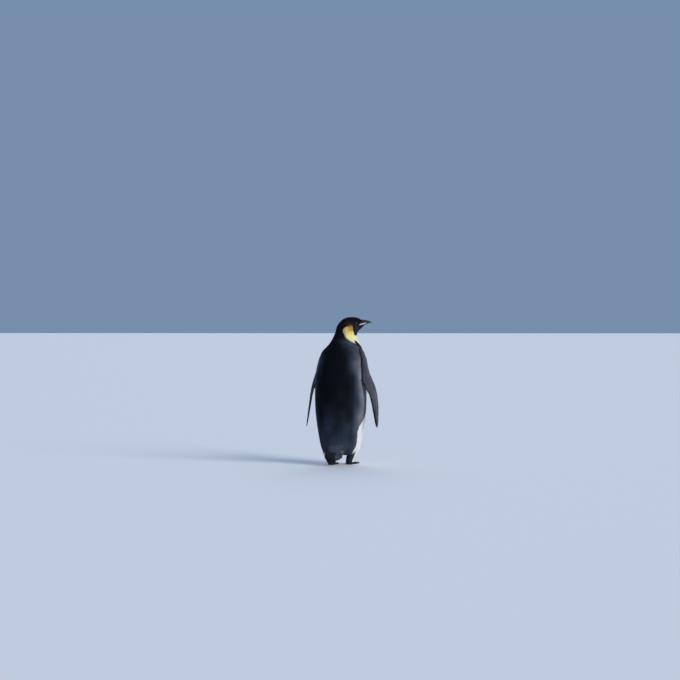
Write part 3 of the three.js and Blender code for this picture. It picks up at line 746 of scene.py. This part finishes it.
def round_trunk(roots):
    place = to_body(roots)
    rear_here, front_here = (np.interp(place[:, 2], levels, reach[:, column]) for column in (0, 1))
    ahead = place[:, 1] - (rear_here + front_here) / 2
    return np.arctan2(place[:, 0], ahead), place[:, 2] + 0.5 * np.hypot(place[:, 0], ahead)


def round_head(roots):
    off = roots - bill_root
    return np.arctan2(off @ head_side, off @ head_over), np.linalg.norm(off, axis=1)


def round_limb(roots):
    """Round an upright limb's own middle at each height."""
    heights = np.linspace(roots[:, 2].min(), roots[:, 2].max(), 12)
    middle_of = np.array([roots[np.abs(roots[:, 2] - h) < 0.03][:, :2].mean(0) for h in heights])
    off = roots[:, :2] - np.stack([np.interp(roots[:, 2], heights, column) for column in middle_of.T], -1)
    return np.arctan2(off[:, 0], off[:, 1]), roots[:, 2]


def coat(name, bed, spacing, seed, chart, ruffle=0.016):
    """One piece of the coat, grown on some of the hide's faces."""
    hide.attributes["bed"].data.foreach_set("value", bed)
    hide.update()
    base = bpy.data.objects.new(name + "_bed", hide)
    bpy.context.scene.collection.objects.link(base)
    grow = base.modifiers.new("coat", "NODES")
    grow.node_group = coat_tree
    for key, value in (
        ("Vane", vane_object), ("Spacing", spacing), ("Ruffle", ruffle), ("Seed", seed), ("Finish", plume),
    ):
        grow[inputs[key].identifier] = value
    base.update_tag()
    mesh = bpy.data.meshes.new_from_object(base.evaluated_get(bpy.context.evaluated_depsgraph_get()))
    bpy.data.objects.remove(base)
    roots = np.empty(len(mesh.vertices) * 3)
    mesh.attributes["pore"].data.foreach_get("vector", roots)
    around, along = chart(roots.reshape(-1, 3)[::VANE_POINTS])
    flat = np.stack([(w - w.min()) / (w.max() - w.min()) for w in (around, along)], -1)
    flat = flat * (1 - 2 * VANE_PATCH) + VANE_PATCH
    corner = np.empty(len(mesh.loops), int)
    mesh.loops.foreach_get("vertex_index", corner)
    uv = flat[corner // VANE_POINTS] + corners[corner % VANE_POINTS] * VANE_PATCH
    while mesh.uv_layers:
        mesh.uv_layers.remove(mesh.uv_layers[0])
    mesh.uv_layers.new(name="OFBake").data.foreach_set("uv", uv.ravel())
    for spare in WORKING:
        if spare in mesh.attributes:
            mesh.attributes.remove(mesh.attributes[spare])
    piece = bpy.data.objects.new(name, mesh)
    bpy.context.scene.collection.objects.link(piece)
    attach(piece, "root")


# The faces of the hide that each piece grows on, clear of the eyes, the bill and the plate beside the gape.
BARE_ROUND_EYE = 0.0098
face_centre = np.empty(len(hide.polygons) * 3)
hide.polygons.foreach_get("center", face_centre)
face_centre = face_centre.reshape(-1, 3)
first_corner = np.empty(len(hide.polygons), int)
hide.polygons.foreach_get("loop_start", first_corner)
corner_vertex = np.empty(len(hide.loops), int)
hide.loops.foreach_get("vertex_index", corner_vertex)
face_owner = owner[corner_vertex[first_corner]]
face_up = face_centre[:, 2]
not_eye = np.ones(len(face_centre), bool)
for centre, _, facing, ahead_of_eye in eyes.values():
    off = face_centre - np.array(centre)
    above = np.cross(facing, ahead_of_eye)
    opening = np.hypot(off @ ahead_of_eye / OPENING_LONG, off @ above / OPENING_TALL)
    not_eye &= (opening >= BARE_ROUND_EYE) | (off @ facing <= 0)
face_forward = to_body(face_centre)[:, 1]
off_bill = face_forward < 0.116 - 0.35 * (face_up - 1.0)
on_gape = (np.abs(face_up - plate_middle(face_forward)) < 0.0062) & (face_forward > 0.096)
feathered = not_eye & ((off_bill & ~on_gape) | (face_up < 0.95))

TRUNK_SPACING, NECK_SPACING, HEAD_SPACING = 0.0026, 0.0022, 0.0016
FLIPPER_SPACING, LEG_SPACING = 0.0020, 0.0024
NECK_FROM, HEAD_FROM = 0.780, 0.915
on_trunk = np.isin(face_owner, ["trunk", "neck", "head"])
BANDS = (
    ("hips", 0.0, 0.220), ("belly", 0.220, 0.350), ("waist", 0.350, 0.480), ("chest", 0.480, 0.622),
    ("shoulders", 0.622, NECK_FROM),
)
for number, (name, lowest, highest) in enumerate(BANDS):
    bed = on_trunk & (face_up >= lowest) & (face_up < highest)
    coat(f"coat_{name}", bed, TRUNK_SPACING, 20 + number, round_trunk)
bed = on_trunk & (face_up >= NECK_FROM) & (face_up < HEAD_FROM)
coat("coat_neck", bed, NECK_SPACING, 30, round_trunk)
bed = on_trunk & (face_up >= HEAD_FROM) & feathered
coat("coat_head", bed, HEAD_SPACING, 31, round_head)
for number, (side, _) in enumerate(SIDES):
    bed = face_owner == f"flipper_{side}"
    coat(f"coat_flipper_{side}", bed, FLIPPER_SPACING, 40 + number, round_limb, ruffle=0.012)
    bed = face_owner == f"leg_{side}"
    coat(f"coat_leg_{side}", bed, LEG_SPACING, 50 + number, round_limb)
bpy.data.objects.remove(vane_object)
for spare in WORKING:
    hide.attributes.remove(hide.attributes[spare])


# ---- The tail
# A short fan of stiff black feathers that grow out of the rump under the coat, those on the right, where the
# key lamp falls, painted a speckled grey: painted light. Each is one thin blade with a raised shaft, laid
# over its neighbour.
def blade_mesh(name, rings):
    """A closed mesh over rings of points, each end closed by a fan."""
    rings = np.asarray(rings)
    count, around = rings.shape[:2]
    points = np.concatenate([rings.reshape(-1, 3), rings[0].mean(0)[None], rings[-1].mean(0)[None]])
    faces = []
    for i in range(count - 1):
        for k in range(around):
            a, b = i * around + k, i * around + (k + 1) % around
            faces.append((a, b, b + around, a + around))
    for k in range(around):
        faces.append(((k + 1) % around, k, count * around))
        faces.append(((count - 1) * around + k, (count - 1) * around + (k + 1) % around, count * around + 1))
    mesh = bpy.data.meshes.new(name)
    mesh.from_pydata(points.tolist(), [], faces)
    turned = bmesh.new()
    turned.from_mesh(mesh)
    bmesh.ops.recalc_face_normals(turned, faces=turned.faces)
    turned.to_mesh(mesh)
    turned.free()
    for polygon in mesh.polygons:
        polygon.use_smooth = True
    return mesh


def joined(name, meshes, finish):
    """One object of several meshes, in one material."""
    whole = bmesh.new()
    for mesh in meshes:
        whole.from_mesh(mesh)
        bpy.data.meshes.remove(mesh)
    made = bpy.data.meshes.new(name)
    whole.to_mesh(made)
    whole.free()
    made.materials.append(finish)
    piece = bpy.data.objects.new(name, made)
    bpy.context.scene.collection.objects.link(piece)
    return piece


tail_root, tail_tip = np.array([0.0170, 0.1156, 0.176]), np.array([0.0170, 0.1816, 0.031])
tail_way = (tail_tip - tail_root) / np.linalg.norm(tail_tip - tail_root)
tail_side = np.array([1.0, 0.0, 0.0])
tail_top = np.cross(tail_side, tail_way) * -1
tail_long = np.linalg.norm(tail_tip - tail_root)
FEATHERS, BLADE_RINGS = 18, 15
FAN_HALF, FAN_TURN = 14, -7  # degrees that the outermost feathers spread, and that the whole fan is turned
ROOTS_HALF, BLADE_HALF = 0.031, 0.0084
BLADE_SECTION = (
    (-1, 0), (-0.55, 0.55), (-0.14, 0.8), (0, 1), (0.14, 0.8), (0.55, 0.55), (1, 0), (0.5, -0.5),
    (-0.5, -0.5),
)
tail_blades = []
for number in range(FEATHERS):
    aside = 2 * number / (FEATHERS - 1) - 1
    turn_out = math.radians(FAN_HALF * aside + FAN_TURN)
    way = tail_way * math.cos(turn_out) + tail_side * math.sin(turn_out)
    across = tail_side * math.cos(turn_out) - tail_way * math.sin(turn_out)
    root = tail_root + tail_side * ROOTS_HALF * aside + tail_top * (0.0045 * (number % 2) - 0.0055 * aside**2)
    long = tail_long * (1 - 0.12 * aside**2) * (0.97 + 0.03 * noise.random())
    wide = BLADE_HALF * (1 - 0.15 * abs(aside))
    blade = []
    for share in np.linspace(0, 1, BLADE_RINGS):
        rounded = math.sqrt(max(0.0, 1 - max(0.0, (share - 0.80) / 0.202) ** 2))
        half = wide * min(1.0, 0.45 + 2.2 * share) * rounded
        thick = 0.0016 * (1 - 0.7 * share) + 0.0004
        shaft = 0.0014 * (1 - share) + 0.0002
        middle_line = root + way * long * share - tail_top * 0.006 * share**2
        ring = []
        for x, y in BLADE_SECTION:
            rise = y * thick + (shaft if x == 0 and y == 1 else 0) - 0.0014 * x * x
            ring.append(middle_line + across * half * x + tail_top * rise)
        blade.append(ring)
    tail_blades.append(blade_mesh("blade", blade))
stiff, tree, shader = surface("tail_feather", 0.55, gloss=0.2)
LIT_BAND_UP, LIT_BAND_REACH = 0.088, 0.048  # the height of the middle of the band of painted light, and its reach up and down
where = added(tree, "ShaderNodeTexCoord").outputs["Object"]
apart = added(tree, "ShaderNodeSeparateXYZ", {"Vector": where}).outputs
to_root = added(tree, "ShaderNodeMapRange", {"Value": apart["Z"], "From Min": 0.070, "From Max": 0.130})
feather = added(tree, "ShaderNodeMix", {
    "Factor": to_root.outputs["Result"], "A": (0.0070, 0.0080, 0.0105, 1), "B": (0.0200, 0.0235, 0.0310, 1),
}, data_type="RGBA")
to_right = added(tree, "ShaderNodeMapRange", {"Value": apart["X"], "From Min": 0.002, "From Max": -0.010})
from_band = added(tree, "ShaderNodeMath", {0: apart["Z"], 1: LIT_BAND_UP}, operation="SUBTRACT")
off_band = added(tree, "ShaderNodeMath", {0: from_band.outputs["Value"]}, operation="ABSOLUTE")
band = added(tree, "ShaderNodeMapRange", {
    "Value": off_band.outputs["Value"], "From Min": LIT_BAND_REACH, "From Max": 0.022,
})
speckle = added(tree, "ShaderNodeTexNoise", {"Vector": where, "Scale": 55})
speckled = added(tree, "ShaderNodeMapRange", {
    "Value": speckle.outputs["Fac"], "From Min": 0.30, "From Max": 0.62,
})
# On the right of the fan, towards the key lamp, the feathers go a speckled grey: painted light.
right_band = added(tree, "ShaderNodeMath", {
    0: to_right.outputs["Result"], 1: band.outputs["Result"],
}, operation="MULTIPLY")
painted_light_share = added(tree, "ShaderNodeMath", {
    0: right_band.outputs["Value"], 1: speckled.outputs["Result"],
}, operation="MULTIPLY")
greyed = added(tree, "ShaderNodeMix", {
    "Factor": painted_light_share.outputs["Value"], "A": feather.outputs["Result"], "B": (0.110, 0.125, 0.145, 1),
}, data_type="RGBA")
tree.links.new(greyed.outputs["Result"], shader.inputs["Base Color"])
tail = joined("tail_feathers", tail_blades, stiff)
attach(tail, "root")
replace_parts(tail, "tail")


# ---- The bill
# Two halves of black horn over the bone, long, slender and bent down at the tip. The upper half has a rounded
# ridge and a groove on each side with the nostril at its root, and closes over the lower half.
def curve(rows, column, at):
    """A smooth curve through one column of a table whose first column is the distance forward."""
    rows = np.asarray(rows, float)
    slopes = np.gradient(rows[:, column], rows[:, 0])
    i = np.clip(np.searchsorted(rows[:, 0], at) - 1, 0, len(rows) - 2)
    step = rows[i + 1, 0] - rows[i, 0]
    t = (at - rows[i, 0]) / step
    return (
        rows[i, column] * (2 * t**3 - 3 * t**2 + 1) + rows[i + 1, column] * (3 * t**2 - 2 * t**3)
        + step * (slopes[i] * (t**3 - 2 * t**2 + t) + slopes[i + 1] * (t**3 - t**2))
    )


# [forward, height of the ridge, height of the cutting edge, half width] in millimetres
UPPER = [
    [86, 1031, 998, 15], [106, 1031, 1002, 13.5], [135, 1028, 1009.5, 9.5], [162, 1021.8, 1012.5, 6.5],
    [184, 1012, 1007, 4], [193, 1006.4, 1003.2, 2.4], [197.5, 1002.6, 1001, 0.9],
]
LOWER = [
    [88, 975, 997.4, 14], [108, 980, 1001.5, 12.5], [134, 991, 1008.9, 9], [158, 1001, 1011.9, 6],
    [176, 1005.5, 1008.8, 3.6], [184, 1005.8, 1007, 1.4],
]
horn, tree, shader = surface("horn", 0.30, gloss=0.5)
shader.inputs["Base Color"].default_value = (0.012, 0.012, 0.014, 1)
shader.inputs["Coat Weight"].default_value = 0.25
where = added(tree, "ShaderNodeTexCoord").outputs["Object"]
grain = added(tree, "ShaderNodeTexNoise", {"Vector": where, "Scale": 260})
bump = added(tree, "ShaderNodeBump", {"Height": grain.outputs["Fac"], "Strength": 0.12, "Distance": 0.001})
tree.links.new(bump.outputs["Normal"], shader.inputs["Normal"])
BILL_RINGS, BILL_SIDES = 64, 40


def bill_half(name, rows, nostril):
    """One half of the bill: rings across it from root to tip, with the groove and nostril if asked."""
    rings = []
    for forward in np.linspace(rows[0][0], rows[-1][0], BILL_RINGS):
        ridge, edge, half = (curve(rows, i, forward) for i in (1, 2, 3))
        tall = ridge - edge
        grooved = smooth(98, 112, forward) * (1 - smooth(150, 176, forward))
        ring = []
        for turn in np.linspace(0, 2 * math.pi, BILL_SIDES, endpoint=False):
            rise = math.cos(turn)
            wide = half * math.sin(turn)
            if rise > 0:
                up_here = edge + tall * rise
                wide *= 1 - 0.10 * rise
                if nostril:
                    groove = math.exp(-(((rise - 0.42) / 0.13) ** 2)) * grooved
                    slit = math.exp(-(((rise - 0.40) / 0.07) ** 2) - ((forward - 119) / 7) ** 2)
                    wide -= math.copysign(min(abs(wide) * 0.5, 0.7 * groove + 1.3 * slit), wide)
            else:
                up_here = edge + math.copysign(0.5, tall) * rise * (1 if nostril else 0.4)
                wide *= 1 - 0.25 * rise * rise
            ring.append(from_head(wide / 1000, forward / 1000, up_here / 1000))
        rings.append(ring)
    piece = joined(name, [blade_mesh(name, rings)], horn)
    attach(piece, "root")
    return piece


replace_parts(bill_half("upper_bill", UPPER, True), "bill_upper")
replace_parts(bill_half("lower_bill", LOWER, False), "bill_lower")

# The plate on each side of the lower half is smooth pinkish-lilac horn, a little proud, set along the edge.
# It darkens towards the tip of the bill.
pink, tree, shader = surface("pink_horn", 0.26)
where = added(tree, "ShaderNodeTexCoord").outputs["Object"]
clouds = added(tree, "ShaderNodeTexNoise", {"Vector": where, "Scale": 90})
lilac = added(tree, "ShaderNodeMix", {
    "Factor": clouds.outputs["Fac"], "A": (0.60, 0.44, 0.45, 1), "B": (0.70, 0.60, 0.64, 1),
}, data_type="RGBA")
straight_ahead = from_head(0.0, 1.0, 1.0) - from_head(0.0, 0.0, 1.0)
head_middle = float(np.dot(from_head(0.0, 0.0, 1.0), straight_ahead))
along_bill = added(tree, "ShaderNodeVectorMath", {0: where, 1: straight_ahead}, operation="DOT_PRODUCT")
to_tip = added(tree, "ShaderNodeMapRange", {
    "Value": along_bill.outputs["Value"], "From Min": head_middle + 0.136, "From Max": head_middle + 0.152,
}, interpolation_type="SMOOTHSTEP")
darkened = added(tree, "ShaderNodeMix", {
    "Factor": to_tip.outputs["Result"], "A": lilac.outputs["Result"], "B": (0.030, 0.021, 0.030, 1),
}, data_type="RGBA")
tree.links.new(darkened.outputs["Result"], shader.inputs["Base Color"])
PLATE_MIDDLE, PLATE_HALF = 128.0, 36.0
for side, out in SIDES:
    rings = []
    for forward in np.linspace(PLATE_MIDDLE - PLATE_HALF + 0.4, PLATE_MIDDLE + PLATE_HALF - 0.4, 56):
        along = (forward - PLATE_MIDDLE) / PLATE_HALF
        half_tall = 3.2 * (1 - 0.34 * along) * (1 - abs(along) ** 2.6) ** 0.5
        middle_up = plate_middle(forward / 1000) * 1000
        ridge, edge, half = (curve(LOWER, i, forward) for i in (1, 2, 3))
        on_face = forward / 1000 < GAPE[-1, 0]
        beside_face = float(np.interp(forward / 1000, GAPE[:, 0], GAPE[:, 1])) * 1000 if on_face else 0.0
        outer, inner = [], []
        for share in np.linspace(-1, 1, 11):
            z = min(middle_up + half_tall * share, edge - 0.35)
            below = (edge - z) / (edge - ridge)
            wide = half * math.sqrt(max(0.0, 1 - below**2)) * (1 - 0.10 * below)
            wide = max(wide, beside_face - 0.9 * share**2)
            proud = 0.65 * (1 - share**4) * (1 - along**8)
            outer.append(from_head(out * (wide + proud) / 1000, forward / 1000, z / 1000))
            inner.append(from_head(out * (wide - 2.4) / 1000, forward / 1000, z / 1000))
        rings.append(outer + inner[::-1])
    plate = joined(f"plate_{side}", [blade_mesh("plate", rings)], pink)
    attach(plate, "root")
    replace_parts(plate, f"bill_plate_{side}")


# ---- The eyes
# Glassy balls set in the lids, with a dark brown iris round a wide black pupil.
glass, tree, shader = surface("eye", 0.07, gloss=0.4)
ring_of = added(tree, "ShaderNodeAttribute", attribute_name="from_pupil")
ramp = added(tree, "ShaderNodeValToRGB", {"Fac": ring_of.outputs["Fac"]})
ramp.color_ramp.elements[0].color = (0.002, 0.002, 0.002, 1)
ramp.color_ramp.elements[0].position = 0.26
ramp.color_ramp.elements[1].color = (0.022, 0.009, 0.004, 1)
ramp.color_ramp.elements[1].position = 0.30
for position, color in ((0.50, (0.014, 0.006, 0.003, 1)), (0.60, (0.004, 0.003, 0.003, 1))):
    ramp.color_ramp.elements.new(position).color = color
tree.links.new(ramp.outputs["Color"], shader.inputs["Base Color"])
for side, _ in SIDES:
    centre, radius, facing, _ = eyes[side]
    ball = bmesh.new()
    bmesh.ops.create_uvsphere(ball, u_segments=56, v_segments=40, radius=radius)
    aim = Vector((0, 0, 1)).rotation_difference(Vector(facing)).to_matrix()
    bmesh.ops.rotate(ball, verts=ball.verts, matrix=aim)
    bmesh.ops.translate(ball, verts=ball.verts, vec=centre)
    mesh = bpy.data.meshes.new(f"eyeball_{side}")
    ball.to_mesh(mesh)
    ball.free()
    for polygon in mesh.polygons:
        polygon.use_smooth = True
    off = places(mesh) - np.array(centre)
    from_pupil = np.degrees(np.arccos(np.clip(off @ facing / radius, -1, 1))) / 90
    mesh.attributes.new("from_pupil", "FLOAT", "POINT").data.foreach_set("value", from_pupil)
    mesh.materials.append(glass)
    eyeball = bpy.data.objects.new(f"eyeball_{side}", mesh)
    bpy.context.scene.collection.objects.link(eyeball)
    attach(eyeball, "root")
    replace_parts(eyeball, f"eye_{side}")


# ---- The claws
# Strong, blunt, black and bent down, one on each toe, flat below and ridged above. Their roots are in the
# toes. toe: [length, degrees outwards, radius at its end], and its claw: [length, radius at the root, degrees
# of bend]
TOES = {
    "inner": ([0.067, -23, 0.0076], [0.024, 0.0056, 34]),
    "middle": ([0.088, 0, 0.0082], [0.024, 0.0056, 34]),
    "outer": ([0.080, 22, 0.0076], [0.024, 0.0056, 34]),
    "hind": ([0.022, -62, 0.0040], [0.010, 0.0032, 26]),
}


FOOT_TURN, HIND_ROOT, CLAW_SIDES = 3, (-0.017, 0.004, 0.003), 20


def on_foot_frame(side, out, angle, points, root):
    """Points beside a toe that lies along -Y, turned to the toe's own way and set on that foot."""
    turn = math.radians(angle)
    points = np.asarray(points, float)
    x = points[..., 0] * math.cos(turn) - points[..., 1] * math.sin(turn) + root[0]
    y = points[..., 0] * math.sin(turn) + points[..., 1] * math.cos(turn) + root[1]
    x = x * out
    turn = math.radians(FOOT_TURN * out)
    ankle = ANKLES[side]
    return np.stack([
        x * math.cos(turn) - y * math.sin(turn) + ankle[0],
        x * math.sin(turn) + y * math.cos(turn) + ankle[1],
        points[..., 2] + root[2],
    ], -1)


for side, out in SIDES:
    for toe, ((long, angle, end), (claw_long, thick_root, bend)) in TOES.items():
        radius = claw_long / math.radians(bend)
        rings = []
        for share in np.linspace(-0.25, 1, 24):
            turn = math.radians(bend) * share
            thick = thick_root * (1 - 0.9 * max(0.0, share) ** 1.3)
            ring = []
            for k in range(CLAW_SIDES):
                a = 2 * math.pi * k / CLAW_SIDES
                rise = math.sin(a) * thick * (1.15 if math.sin(a) > 0 else 0.80)
                wide = math.cos(a) * thick * 0.82 * (1 - 0.12 * max(0.0, math.sin(a)))
                ring.append((
                    wide, -long + 0.002 - radius * math.sin(turn) - rise * math.sin(turn),
                    end * 0.84 + 0.0016 - radius * (1 - math.cos(turn)) + rise * math.cos(turn),
                ))
            rings.append(ring)
        root = HIND_ROOT if toe == "hind" else (0.0, 0.0, 0.0)
        nail = blade_mesh("nail", on_foot_frame(side, out, angle, rings, root))
        claw = joined(f"nail_{side}_{toe}", [nail], horn)
        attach(claw, "root")
        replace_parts(claw, f"claw_{side}_{toe}")


# ---- Floor, light and camera
# A plain pale floor under pale soft studio light, stronger from the bird's right, and the camera behind it.
FLOOR = 800.0  # half its side, so that its far edge is the horizon
floor_mesh = bpy.data.meshes.new("floor")
square = [(-FLOOR, -FLOOR, 0), (FLOOR, -FLOOR, 0), (FLOOR, FLOOR, 0), (-FLOOR, FLOOR, 0)]
floor_mesh.from_pydata(square, [], [(0, 1, 2, 3)])
floor = bpy.data.objects.new("floor", floor_mesh)
bpy.context.scene.collection.objects.link(floor)
paper, tree, shader = surface("paper", 0.9, gloss=0.1)
shader.inputs["Base Color"].default_value = (0.78, 0.80, 0.84, 1)
floor_mesh.materials.append(paper)
floor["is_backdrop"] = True

world = bpy.data.worlds.new("studio")
bpy.context.scene.world = world
world.use_nodes = True
sky = world.node_tree.nodes["Background"]
sky.inputs["Color"].default_value = (0.53, 0.78, 1.18, 1)
sky.inputs["Strength"].default_value = 0.35
bpy.context.scene.view_settings.view_transform = "Standard"


CHEST = Vector((0, 0, 0.55))  # what the lamps are aimed at


def lamp(name, place, power, color, spread):
    """A broad far lamp. Its spread is told in degrees."""
    light = bpy.data.lights.new(name, "SUN")
    light.energy = power
    light.color = color
    light.angle = math.radians(spread)
    stand = bpy.data.objects.new(name, light)
    stand.location = place
    stand.rotation_euler = (CHEST - Vector(place)).to_track_quat("-Z", "Y").to_euler()
    bpy.context.scene.collection.objects.link(stand)


lamp("key", (-5.0, 1.9, 3.0), 2.7, (1.0, 0.97, 0.93), 36)
lamp("front", (1.5, -5.0, 4.2), 0.7, (0.96, 0.98, 1.0), 40)

camera = bpy.data.objects.new("camera", bpy.data.cameras.new("camera"))
bpy.context.scene.collection.objects.link(camera)
bpy.context.scene.camera = camera
camera.location = (-3.9679, 10.9004, 0.945)
camera.rotation_euler = (math.radians(89.7), 0, math.radians(200.084))
camera.data.lens = 86.6
camera.data.clip_end = 3 * FLOOR

low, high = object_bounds()
